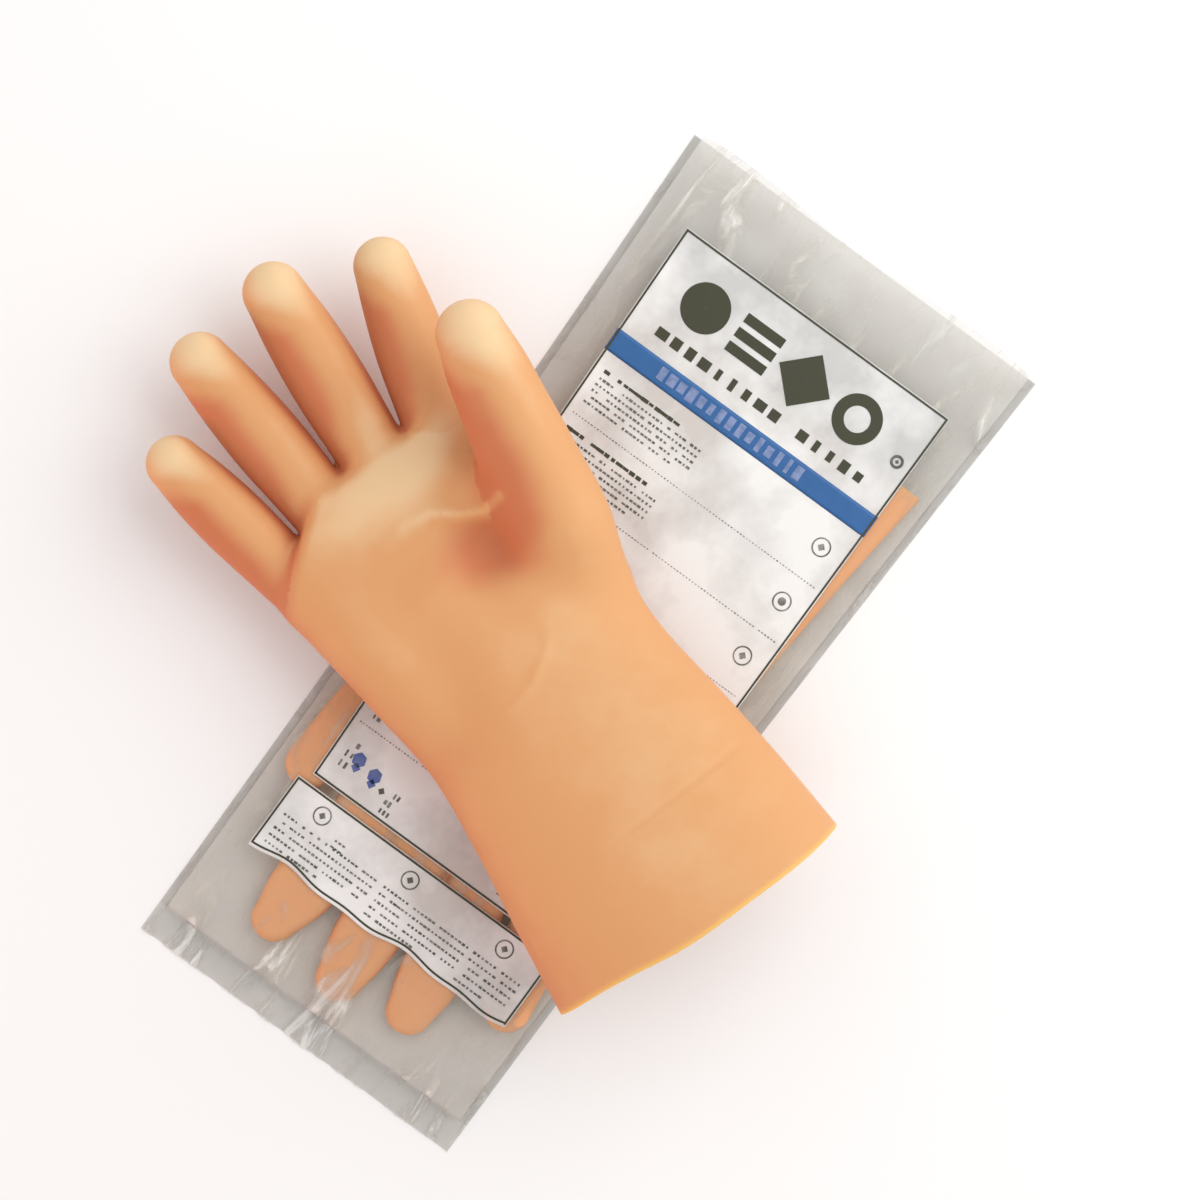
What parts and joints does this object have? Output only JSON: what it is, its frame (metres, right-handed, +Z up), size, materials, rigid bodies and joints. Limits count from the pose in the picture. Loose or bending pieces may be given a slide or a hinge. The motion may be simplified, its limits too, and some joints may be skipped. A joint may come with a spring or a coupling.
{
  "type": "electrical insulating gloves",
  "caption": "Pair of dipped latex electrical insulating gloves: one loose, palm up, lying across a clear printed bag that holds the other.",
  "frame": {"origin": "centre of the bag's underside, on the surface that it lies on", "axes": "+Z up from the surface; +Y along the loose glove from its cuff to its fingertips; the bag's length runs 20 degrees anticlockwise of +X, its mouth at the +X end"},
  "size_m": [0.3861, 0.3051, 0.0931],
  "materials": {
    "latex": "matte natural latex",
    "packed_latex": "matte natural latex, seen through film",
    "film": "clear glossy film",
    "print": "translucent white ink on film",
    "blue_ink": "blue ink on film"
  },
  "bodies": {
    "bag": {"front_film": "film", "back_film": "film", "left_weld": "film", "right_weld": "film", "end_weld_band": "film", "main_print": "print", "blue_band": "blue_ink", "care_print": "print"},
    "packed_glove": {"packed_glove": "packed_latex"},
    "palm": {"palm": "latex"},
    "gauntlet": {"gauntlet": "latex"},
    "index_root": {"index_root": "latex"},
    "index_tip": {"index_tip": "latex"},
    "middle_root": {"middle_root": "latex"},
    "middle_tip": {"middle_tip": "latex"},
    "ring_root": {"ring_root": "latex"},
    "ring_tip": {"ring_tip": "latex"},
    "little_root": {"little_root": "latex"},
    "little_tip": {"little_tip": "latex"},
    "thumb_root": {"thumb_root": "latex"},
    "thumb_tip": {"thumb_tip": "latex"}
  },
  "joints": [
    {"name": "loose_glove_lift", "type": "slide", "parent": "bag", "child": "palm", "axis": [0, 0, 1], "range_m": [0, 0.15]},
    {"name": "packed_glove_slide", "type": "slide", "parent": "bag", "child": "packed_glove", "axis": [0.9397, 0.342, 0], "range_m": [0, 0.35]},
    {"name": "wrist_bend", "type": "hinge", "parent": "palm", "child": "gauntlet", "pos_m": [-0.01945, -0.0088, 0.05805], "axis": [-1, 0, 0], "range_deg": [0, 30], "stiffness_Nm_per_rad": 0.4},
    {"name": "index_root_bend", "type": "hinge", "parent": "palm", "child": "index_root", "pos_m": [0.00847, 0.11556, 0.03957], "axis": [0.9681, -0.2504, 0], "range_deg": [0, 60], "stiffness_Nm_per_rad": 0.06},
    {"name": "index_tip_bend", "type": "hinge", "parent": "index_root", "child": "index_tip", "pos_m": [0.01421, 0.13773, 0.0419], "axis": [0.9681, -0.2504, 0], "range_deg": [0, 70], "stiffness_Nm_per_rad": 0.04},
    {"name": "middle_root_bend", "type": "hinge", "parent": "palm", "child": "middle_root", "pos_m": [-0.02157, 0.11582, 0.03986], "axis": [0.999, -0.0436, 0], "range_deg": [0, 70], "stiffness_Nm_per_rad": 0.06},
    {"name": "middle_tip_bend", "type": "hinge", "parent": "middle_root", "child": "middle_tip", "pos_m": [-0.02036, 0.14362, 0.04309], "axis": [0.999, -0.0436, 0], "range_deg": [0, 80], "stiffness_Nm_per_rad": 0.04},
    {"name": "ring_root_bend", "type": "hinge", "parent": "palm", "child": "ring_root", "pos_m": [-0.05003, 0.11378, 0.03986], "axis": [0.9945, 0.1045, 0], "range_deg": [0, 70], "stiffness_Nm_per_rad": 0.06},
    {"name": "ring_tip_bend", "type": "hinge", "parent": "ring_root", "child": "ring_tip", "pos_m": [-0.05283, 0.14048, 0.04287], "axis": [0.9945, 0.1045, 0], "range_deg": [0, 80], "stiffness_Nm_per_rad": 0.04},
    {"name": "little_root_bend", "type": "hinge", "parent": "palm", "child": "little_root", "pos_m": [-0.07559, 0.09982, 0.03869], "axis": [0.9799, 0.1994, 0], "range_deg": [0, 70], "stiffness_Nm_per_rad": 0.06},
    {"name": "little_tip_bend", "type": "hinge", "parent": "little_root", "child": "little_tip", "pos_m": [-0.07995, 0.12126, 0.04104], "axis": [0.9799, 0.1994, 0], "range_deg": [0, 80], "stiffness_Nm_per_rad": 0.04},
    {"name": "thumb_spread", "type": "hinge", "parent": "palm", "child": "thumb_root", "pos_m": [0.04086, 0.06628, 0.05513], "axis": [0.0577, 0.3685, -0.9278], "range_deg": [0, 35], "stiffness_Nm_per_rad": 0.12},
    {"name": "thumb_tip_bend", "type": "hinge", "parent": "thumb_root", "child": "thumb_tip", "pos_m": [0.012, 0.09334, 0.06409], "axis": [-0.0577, -0.3685, 0.9278], "range_deg": [0, 45], "stiffness_Nm_per_rad": 0.08}
  ]
}
